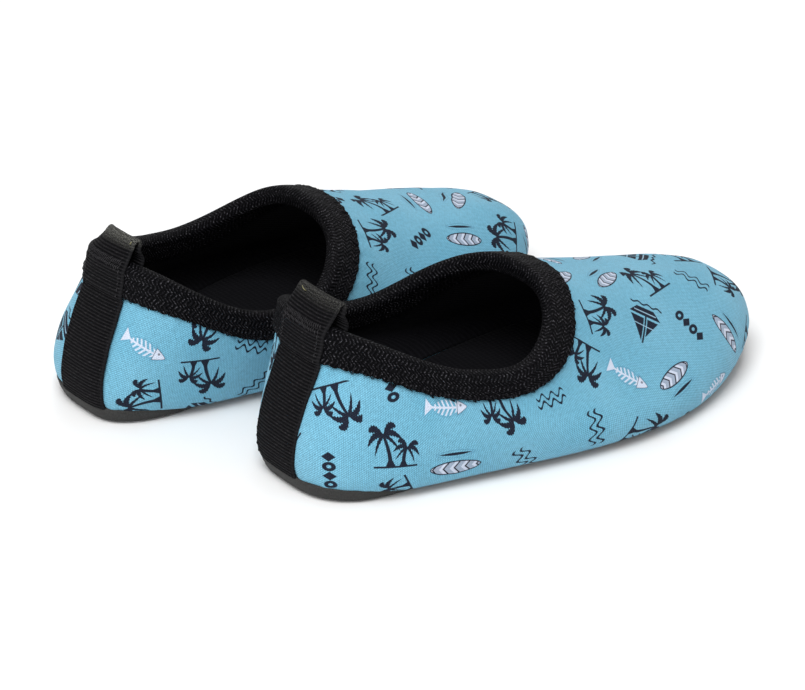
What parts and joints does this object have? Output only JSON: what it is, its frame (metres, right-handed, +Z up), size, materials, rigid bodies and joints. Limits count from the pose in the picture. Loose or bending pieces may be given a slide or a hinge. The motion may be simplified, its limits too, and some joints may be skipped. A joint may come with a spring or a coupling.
{
  "type": "water shoes",
  "caption": "Pair of low-cut slip-on neoprene water shoes with a stretch upper, bound topline, taped heel with a pull tab and a thin flexible rubber sole.",
  "frame": {"origin": "on the ground, the middle of the flat heel tread of the right shoe", "axes": "+X from heel to toe, +Z up; the left shoe stands on the +Y side"},
  "size_m": [0.1857, 0.1568, 0.0584],
  "materials": {
    "printed_neoprene": "matte knit face with a dark and white printed pattern",
    "lining_jersey": "matte black jersey",
    "binding_elastic": "black knitted elastic, slight sheen",
    "grosgrain_tape": "black ribbed tape",
    "black_thread": "polyester thread",
    "insole_cloth": "ribbed black cloth over foam",
    "bottom_cloth": "thin non-woven cloth",
    "sole_rubber": "matte dark grey rubber"
  },
  "bodies": {
    "right_shoe": {"right_outsole_rear": "sole_rubber", "right_strobel_rear": "bottom_cloth", "right_strobel_stitching_rear": "black_thread", "right_insole_rear": "insole_cloth", "right_upper_quarter": "printed_neoprene", "right_upper_flex": "printed_neoprene", "right_lining_quarter": "lining_jersey", "right_lining_flex": "lining_jersey", "right_topline_binding": "binding_elastic", "right_binding_stitching": "black_thread", "right_heel_tape": "grosgrain_tape", "right_tape_stitching": "black_thread"},
    "right_forefoot": {"right_outsole_front": "sole_rubber", "right_strobel_front": "bottom_cloth", "right_strobel_stitching_front": "black_thread", "right_insole_front": "insole_cloth", "right_upper_toe": "printed_neoprene", "right_lining_toe": "lining_jersey"},
    "right_tab": {"right_pull_tab": "grosgrain_tape", "right_bar_tack": "black_thread"},
    "left_shoe": {"left_outsole_rear": "sole_rubber", "left_strobel_rear": "bottom_cloth", "left_strobel_stitching_rear": "black_thread", "left_insole_rear": "insole_cloth", "left_upper_quarter": "printed_neoprene", "left_upper_flex": "printed_neoprene", "left_lining_quarter": "lining_jersey", "left_lining_flex": "lining_jersey", "left_topline_binding": "binding_elastic", "left_binding_stitching": "black_thread", "left_heel_tape": "grosgrain_tape", "left_tape_stitching": "black_thread"},
    "left_forefoot": {"left_outsole_front": "sole_rubber", "left_strobel_front": "bottom_cloth", "left_strobel_stitching_front": "black_thread", "left_insole_front": "insole_cloth", "left_upper_toe": "printed_neoprene", "left_lining_toe": "lining_jersey"},
    "left_tab": {"left_pull_tab": "grosgrain_tape", "left_bar_tack": "black_thread"}
  },
  "joints": [
    {"name": "right_flex", "type": "hinge", "parent": "right_shoe", "child": "right_forefoot", "pos_m": [0.072, 0, 0.0024], "axis": [0, -1, 0], "range_deg": [-6, 35], "stiffness_Nm_per_rad": 0.35, "deforming": ["right_upper_flex", "right_lining_flex"]},
    {"name": "right_tab_bend", "type": "hinge", "parent": "right_shoe", "child": "right_tab", "pos_m": [-0.0237, -0.002, 0.0491], "axis": [0, 1, 0], "range_deg": [-60, 45], "stiffness_Nm_per_rad": 0.002},
    {"name": "left_lift", "type": "slide", "parent": "right_shoe", "child": "left_shoe", "axis": [0, 0, 1], "range_m": [0, 0.15]},
    {"name": "left_flex", "type": "hinge", "parent": "left_shoe", "child": "left_forefoot", "pos_m": [0.04956, 0.07055, 0.0024], "axis": [0.0523, -0.9986, 0], "range_deg": [-6, 35], "stiffness_Nm_per_rad": 0.35, "deforming": ["left_upper_flex", "left_lining_flex"]},
    {"name": "left_tab_bend", "type": "hinge", "parent": "left_shoe", "child": "left_tab", "pos_m": [-0.04612, 0.06754, 0.0491], "axis": [-0.0523, 0.9986, 0], "range_deg": [-60, 45], "stiffness_Nm_per_rad": 0.002}
  ]
}
